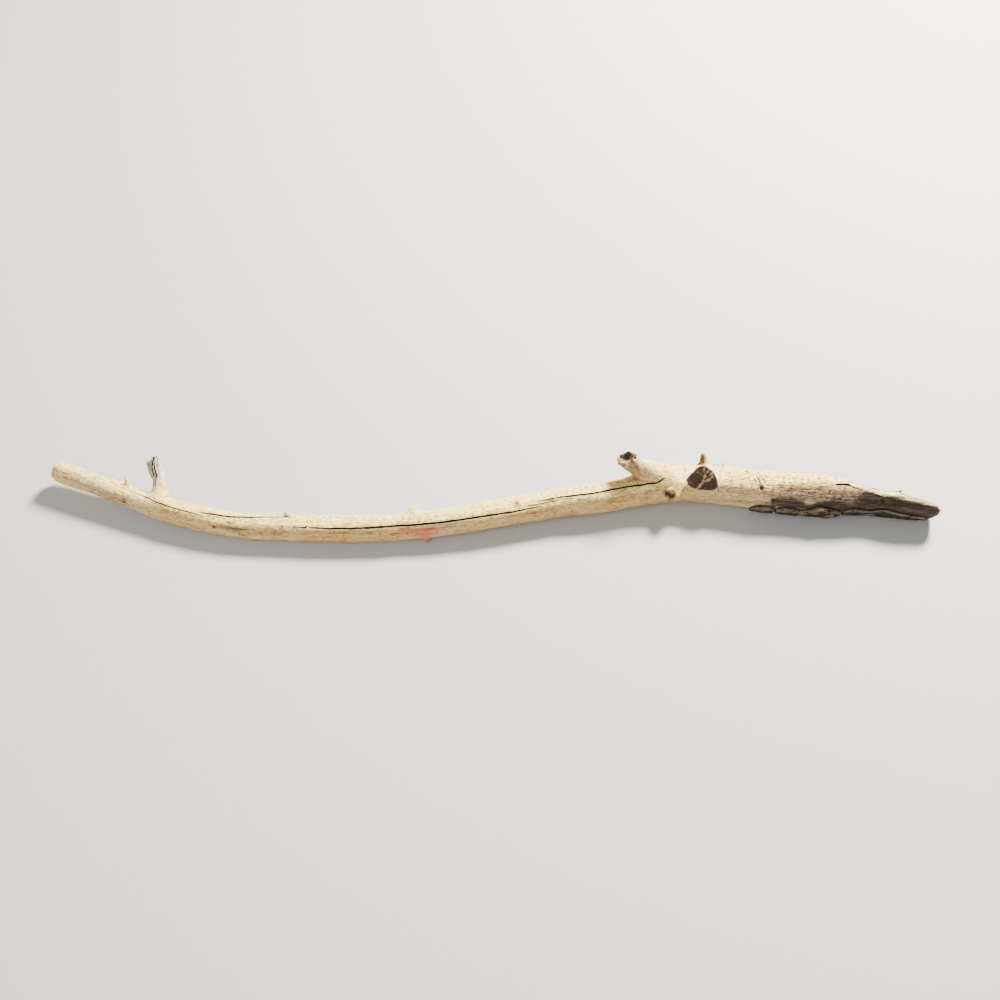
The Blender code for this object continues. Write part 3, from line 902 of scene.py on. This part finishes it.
def part_at_forks(made):
    """Parts the skin where it forks. Each piece keeps the whole skin's shading and is closed inside."""
    mesh = made.data
    mesh.polygons.foreach_set("use_smooth", [True] * len(mesh.polygons))
    mesh.set_sharp_from_angle(angle=math.radians(55))
    shading = mesh.attributes.new("shading", "FLOAT_VECTOR", "CORNER")
    shading.data.foreach_set("vector", read(mesh.corner_normals, "vector").astype(np.float32).ravel())
    middles = read(mesh.polygons, "center")
    x, angle, distance = stem_place(middles)
    by_stem = distance - stem_radius(x, angle)
    owner = np.where(x > FORK_X, "butt", "limb").astype(object)
    for piece, names in STUBS.items():
        for name in names:
            chosen, travelled, _, out = beside_branch(middles, name)
            own = (out < by_stem[chosen] - STUB_MARGIN) & (travelled > 0)
            owner[chosen[own]] = piece
    pieces = {}
    for piece in ("limb", "butt", *STUBS):
        shape = bmesh.new()
        shape.from_mesh(mesh)
        others = [f for f, o in zip(shape.faces, owner) if o != piece]
        bmesh.ops.delete(shape, geom=others, context="FACES")
        layer = shape.loops.layers.float_vector["shading"]
        skin_faces = set(shape.faces)
        rim = [e for e in shape.edges if e.is_boundary]
        turned_in = bmesh.ops.extrude_edge_only(shape, edges=rim)["geom"]
        for vertex in (v for v in turned_in if isinstance(v, bmesh.types.BMVert)):
            outer = next(e.other_vert(vertex) for e in vertex.link_edges if not e.is_boundary)
            vertex.co -= outer.normal * CAP_DEPTH
        inner_rim = [e for e in shape.edges if e.is_boundary]
        bmesh.ops.holes_fill(shape, edges=inner_rim, sides=0)
        for face in set(shape.faces) - skin_faces:
            for loop in face.loops:
                loop[layer] = (0, 0, 0)
        part = bpy.data.meshes.new(piece + "_look")
        shape.to_mesh(part)
        shape.free()
        held = read(part.attributes["shading"].data, "vector")
        part.attributes.remove(part.attributes["shading"])
        part.normals_split_custom_set(held.tolist())
        pieces[piece] = add(part.name, part)
    return pieces


class Nodes:
    """A material, and short names for the shader nodes that it is made of."""

    def __init__(self, name, colour):
        self.colour = colour
        self.material = bpy.data.materials.new(name)
        self.material.use_nodes = True
        self.tree = self.material.node_tree
        self.shader = self.tree.nodes["Principled BSDF"]

    def new(self, kind, inputs=(), **settings):
        node = self.tree.nodes.new(kind)
        for key, value in settings.items():
            setattr(node, key, value)
        for key, value in dict(inputs).items():
            self.feed(node.inputs[key], value)
        return node

    def feed(self, socket, value):
        if isinstance(value, bpy.types.NodeSocket):
            self.tree.links.new(value, socket)
        else:
            socket.default_value = (*value, 1) if socket.type == "RGBA" else value

    def attribute(self, name, output="Fac"):
        return self.new("ShaderNodeAttribute", attribute_name=name).outputs[output]

    def math(self, operation, *values):
        return self.new("ShaderNodeMath", dict(enumerate(values)), operation=operation).outputs[0]

    def streaks(self, vector, scale, detail=3.0, rough=0.55):
        """Noise from 0 to 1 on the vector, stretched by the three scales."""
        moved = self.new("ShaderNodeMapping", {"Vector": vector, "Scale": scale}).outputs[0]
        inputs = {"Vector": moved, "Scale": 1.0, "Detail": detail, "Roughness": rough}
        return self.new("ShaderNodeTexNoise", inputs).outputs["Fac"]

    def between(self, value, low, high, out_low=0.0, out_high=1.0):
        """The value carried smoothly from one range to another."""
        inputs = {"Value": value, "From Min": low, "From Max": high, "To Min": out_low, "To Max": out_high}
        return self.new("ShaderNodeMapRange", inputs, interpolation_type="SMOOTHSTEP").outputs[0]

    def mix(self, share, a, b, blend="MIX"):
        inputs = {0: share, 6: a, 7: b}
        return self.new("ShaderNodeMix", inputs, data_type="RGBA", blend_type=blend).outputs[2]

    def coat(self, share, paint, where=None, blend="MIX"):
        """Lays a paint over the colour so far, by its share and the attribute that says where."""
        if where:
            share = self.math("MULTIPLY", self.attribute(where), share)
        self.colour = self.mix(share, self.colour, paint, blend)

    def finish(self, roughness, specular=0.5, normal=None):
        """The material, with its surface made of these and of its colour."""
        surface = {"Base Color": self.colour, "Roughness": roughness, "Specular IOR Level": specular}
        for key, value in surface.items():
            self.feed(self.shader.inputs[key], value)
        if normal:
            self.feed(self.shader.inputs["Normal"], normal)
        return self.material

    def bump(self, height, distance, strength, normal=None):
        node = self.new("ShaderNodeBump", {"Height": height, "Distance": distance, "Strength": strength})
        if normal:
            self.feed(node.inputs["Normal"], normal)
        return node.outputs[0]


# Colours of the wood
CREAM = (0.90, 0.70, 0.25)
TAN = (0.62, 0.40, 0.15)
OCHRE = (0.48, 0.25, 0.08)
SILVER = (0.68, 0.62, 0.53)
BROWN = (0.030, 0.019, 0.011)
RED = (0.60, 0.15, 0.085)
# near-black painted shade for the inside of cracks, slits, hollows and gaps
CAVE_SHADE = (0.016, 0.010, 0.006)
END_GRAIN = (0.028, 0.016, 0.009)


def wood_material():
    """Dry, sun-bleached wood with streaks along its fibres."""
    n = Nodes("weathered_wood", TAN)
    grain = n.attribute("grain", "Vector")
    wide = n.streaks(grain, (6, 70, 70))
    fine = n.streaks(grain, (30, 420, 420), 4.0, 0.6)
    hair = n.streaks(grain, (60, 1300, 1300), 2.0)
    cloud = n.streaks(grain, (16, 40, 40), 4.0, 0.6)
    mottle = n.streaks(grain, (130, 240, 240), 6.0, 0.8)
    specks = n.streaks(grain, (160, 270, 270), 3.0, 0.6)
    # bare wood, tan below and cream on top: partly sun bleaching, partly painted light on the lit top and
    # painted shade on the lower side
    n.coat(n.between(cloud, 0.42, 0.66), OCHRE)
    n.coat(n.between(wide, 0.30, 0.55, 0.0, 0.7), TAN)
    n.coat(n.between(n.streaks(grain, (34, 300, 300)), 0.56, 0.66, 0.0, 0.6), (0.26, 0.12, 0.05))
    pale = n.math("ADD", n.attribute("bleach_and_light"), n.between(wide, 0.35, 0.65, -0.22, 0.22))
    n.coat(pale, CREAM)
    n.coat(n.between(fine, 0.25, 0.6, 0.45, 1.0), RED, "blush")
    n.coat(n.between(fine, 0.25, 0.65, 1.0, 0.55), SILVER, "grey")
    n.coat(n.between(fine, 0.54, 0.62, 0.0, 0.8), (0.20, 0.17, 0.14), "grey")
    # mottling and dark fibres
    n.coat(n.between(mottle, 0.50, 0.62, 0.0, 0.9), (0.38, 0.31, 0.25), blend="MULTIPLY")
    n.coat(n.between(mottle, 0.47, 0.36, 0.0, 0.8), (1.16, 1.15, 1.12), blend="MULTIPLY")
    n.coat(n.between(fine, 0.50, 0.62, 0.0, 0.6), (0.64, 0.56, 0.48), blend="MULTIPLY")
    # freshly torn wood, brown stains with painted shade, and flecks
    n.coat(n.between(fine, 0.62, 0.40, 0.0, 0.75), (0.82, 0.69, 0.42), "torn")
    n.coat(n.between(fine, 0.52, 0.66, 0.0, 0.8), (0.16, 0.10, 0.06), "torn")
    seams = n.streaks(grain, (14, 260, 260), 4.0, 0.65)
    # brown laid by the stain mask: real stains, and painted shade on shaded sides and in the fork's crotch
    weathered = n.mix(n.between(seams, 0.50, 0.64, 0.0, 0.45), BROWN, (0.160, 0.115, 0.078))
    n.coat(n.between(mottle, 0.36, 0.60, 0.92, 1.25), weathered, "stain_and_shade")
    n.coat(n.between(specks, 0.525, 0.585, 0.0, 0.75), BROWN, "fleck")
    # the sawn face, and painted shade inside cracks, slits and hollows, in the bark's gap and in knot pits
    rough_cut = n.streaks(grain, (300, 300, 300), 5.0, 0.7)
    sawn = n.mix(n.between(rough_cut, 0.40, 0.70), END_GRAIN, (0.110, 0.060, 0.031))
    n.coat(n.attribute("cut"), n.mix(n.attribute("band"), sawn, (0.34, 0.22, 0.12)))
    n.coat(n.attribute("hollow_shade"), CAVE_SHADE)
    # the faces left by the crack and slit cutters get painted shade
    n.coat(n.attribute("inside"), CAVE_SHADE)
    relief = n.bump(mottle, 0.0012, 0.5)
    relief = n.bump(fine, 0.0008, 0.7, relief)
    relief = n.bump(hair, 0.0002, 0.5, relief)
    return n.finish(n.between(fine, 0.3, 0.7, 0.72, 0.92), 0.25, relief)


def bark_material():
    """Dark, flaking bark with pale upper edges: partly broken edges, partly a painted highlight."""
    n = Nodes("loose_bark", (0.006, 0.004, 0.003))
    grain = n.attribute("grain", "Vector")
    rough = n.streaks(grain, (70, 200, 200), 6.0, 0.7)
    flake = n.streaks(grain, (40, 120, 120), 4.0, 0.6)
    n.coat(n.between(rough, 0.38, 0.66), (0.032, 0.021, 0.014))
    n.coat(n.between(flake, 0.57, 0.65, 0.0, 0.7), (0.20, 0.155, 0.105))
    # paler upper edge: partly broken bark, partly a painted highlight on the lit edge
    n.coat(n.between(rough, 0.35, 0.55), (0.20, 0.145, 0.10), "edge")
    return n.finish(0.92, 0.2, n.bump(rough, 0.0015, 0.9))


# Gap between the wood and the loose bark, and the bark's mesh: its step along and its rows across
BARK_GAP = 0.0012
BARK_STEP = 0.0011
BARK_ROWS = 44
# Loose bark: x, angle of the upper edge, angle of the lower edge, thickness
BARK = {
    "bark_sliver": (
        (0.470, -22, -60, 0.003),
        (0.484, -8, -74, 0.005),
        (0.498, -6, -78, 0.006),
        (0.511, -5, -70, 0.005),
    ),
    "bark_plate": (
        (0.514, -12, -66, 0.005),
        (0.538, -4, -82, 0.007),
        (0.563, -13, -88, 0.007),
        (0.584, 9, -88, 0.008),
        (0.605, 4, -84, 0.008),
        (0.629, -8, -70, 0.006),
    ),
    "bark_tip": (
        (0.632, -4, -60, 0.003),
        (0.654, 4, -74, 0.004),
        (0.680, -6, -80, 0.003),
        (0.702, 8, -78, 0.003),
        (0.740, 2, -76, 0.003),
        (0.765, -2, -66, 0.003),
        (0.784, -14, -50, 0.002),
    ),
}


def bark_piece(name):
    """A curved, flaking plate that follows the stem's skin and rests on the ground."""
    rows = BARK[name]
    count = round((rows[-1][0] - rows[0][0]) / BARK_STEP)
    x = np.linspace(rows[0][0], rows[-1][0], count + 1)
    top, bottom, thick = smooth(rows, x).T
    uneven = 4 * ripple(x, 90, 3, 1)
    top = top + uneven + 2.5 * ripple(x, 260, 3, 1)
    bottom = bottom - uneven
    share = np.linspace(0, 1, BARK_ROWS)
    angle = top[:, None] + (bottom - top)[:, None] * share[None]
    place_x = np.repeat(x, BARK_ROWS)
    angles = angle.ravel()
    spread = np.column_stack([place_x, angles * 0.0006, np.full_like(place_x, 6)])
    edge = np.minimum(share, 1 - share)[None] * np.ones((len(x), 1))
    ends = np.minimum(np.arange(len(x)), np.arange(len(x))[::-1])[:, None] * np.ones((1, BARK_ROWS))
    round_off = ramp(np.minimum(edge * BARK_ROWS, ends).ravel(), -1, 3)
    relief = 1 + 0.35 * wave(spread, 55, 110, 1) + 0.30 * wave(spread, 150, 260, 1)
    relief += 0.12 * wave(spread, 420, 700, 1)
    thickness = np.repeat(thick, BARK_ROWS) * relief * (0.45 + 0.55 * round_off)
    inner = skin(place_x, angles, BARK_GAP).reshape(len(x), BARK_ROWS, 3)
    outer = skin(place_x, angles, BARK_GAP + thickness).reshape(len(x), BARK_ROWS, 3)
    outer[..., 2] = np.maximum(outer[..., 2], 0.0)
    inner[..., 2] = np.maximum(inner[..., 2], 0.0008)
    rings = [np.concatenate([i, o[::-1]]) for i, o in zip(inner, outer)]
    made = body(name + "_look", [loft(rings)])
    points = read(made.data.vertices, "co")
    px, pangle, distance = stem_place(points)
    store(made.data, "grain", grain_place(points, px, pangle, distance))
    upper = turn_from(pangle, smooth(rows, px)[:, 0])
    # the upper edge's share, painted paler as broken bark and as a painted highlight
    store(made.data, "edge", 0.8 * ramp(upper, -9, -1))
    return made


# Splits in the snag: start and end along it, angle, opening, depth
SLITS = (
    ("snag", 0.72, 1.0, 246, 0.0066, 0.010),
    ("snag", 0.44, 0.78, 264, 0.0046, 0.006),
    ("snag", 0.50, 0.84, 232, 0.0046, 0.006),
    ("snag", 0.36, 0.60, 246, 0.003, 0.0045),
    ("snag", 0.60, 0.88, 300, 0.0026, 0.004),
    ("snag", 0.50, 0.90, 80, 0.004, 0.005),
    ("snag", 0.55, 0.80, 130, 0.003, 0.004),
    ("snag_splinter", 0.20, 1.0, 275, 0.0034, 0.004),
)

wood = whole_wood()
weather(wood)
cracks = body("cracks", [crack_cutter(*crack) for crack in CRACKS])
slits = body("slits", [slit_cutter(*slit) for slit in SLITS])
cut(wood, [cracks, slits])
pieces = part_at_forks(wood)
remove([wood, cracks, slits])

dry_wood, bark = wood_material(), bark_material()
for made in pieces.values():
    tint(made)
for name in BARK:
    pieces[name] = bark_piece(name)
for name, made in pieces.items():
    made.data.materials.clear()
    made.data.materials.append(bark if name in BARK else dry_wood)
    if name in BARK:
        made.data.polygons.foreach_set("use_smooth", [True] * len(made.data.polygons))
        made.data.set_sharp_from_angle(angle=math.radians(50))
    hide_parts(name)
    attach(made, "root")

# Floor
floor_mesh = bpy.data.meshes.new("floor")
floor_mesh.from_pydata([(-6, -6, 0), (6, -6, 0), (6, 6, 0), (-6, 6, 0)], [], [(0, 1, 2, 3)])
floor = add("floor", floor_mesh)
floor_mesh.materials.append(Nodes("paper", (0.47, 0.465, 0.455)).finish(0.9))

# Light: a broad key from behind on the right, and a wide soft fill from the near left
MIDDLE = Vector((0.0165, 0.002, 0.025))


def area_light(name, towards, distance, size, power, colour):
    data = bpy.data.lights.new(name, "AREA")
    data.shape, data.size, data.energy, data.color = "DISK", size, power, colour
    lamp = add(name, data)
    direction = Vector(towards).normalized()
    lamp.location = MIDDLE + direction * distance
    lamp.rotation_euler = direction.to_track_quat("Z", "Y").to_euler()


area_light("key", (0.46, 0.61, 0.65), 4.0, 1.0, 1200, (1.0, 0.945, 0.84))
area_light("fill", (-0.5, -0.8, 0.9), 4.0, 3.5, 120, (1.0, 0.97, 0.93))
world = bpy.data.worlds.new("studio")
world.use_nodes = True
world.node_tree.nodes["Background"].inputs["Color"].default_value = (0.86, 0.90, 0.95, 1)
world.node_tree.nodes["Background"].inputs["Strength"].default_value = 0.45
bpy.context.scene.world = world

# Camera at the photograph's viewing angle
ELEVATION = math.radians(55)
FOCAL = 1.25  # focal length over the picture's width
SHARE = 0.886  # how much of the picture's width the limb's 1.6 m take up
DISTANCE = 1.6 / SHARE * FOCAL
camera_data = bpy.data.cameras.new("camera")
camera_data.sensor_width = 36
camera_data.lens = 36 * FOCAL
camera = add("camera", camera_data)
back = Vector((0, -math.cos(ELEVATION), math.sin(ELEVATION)))
camera.location = MIDDLE + back * DISTANCE
camera.rotation_euler = back.to_track_quat("Z", "Y").to_euler()
bpy.context.scene.camera = camera
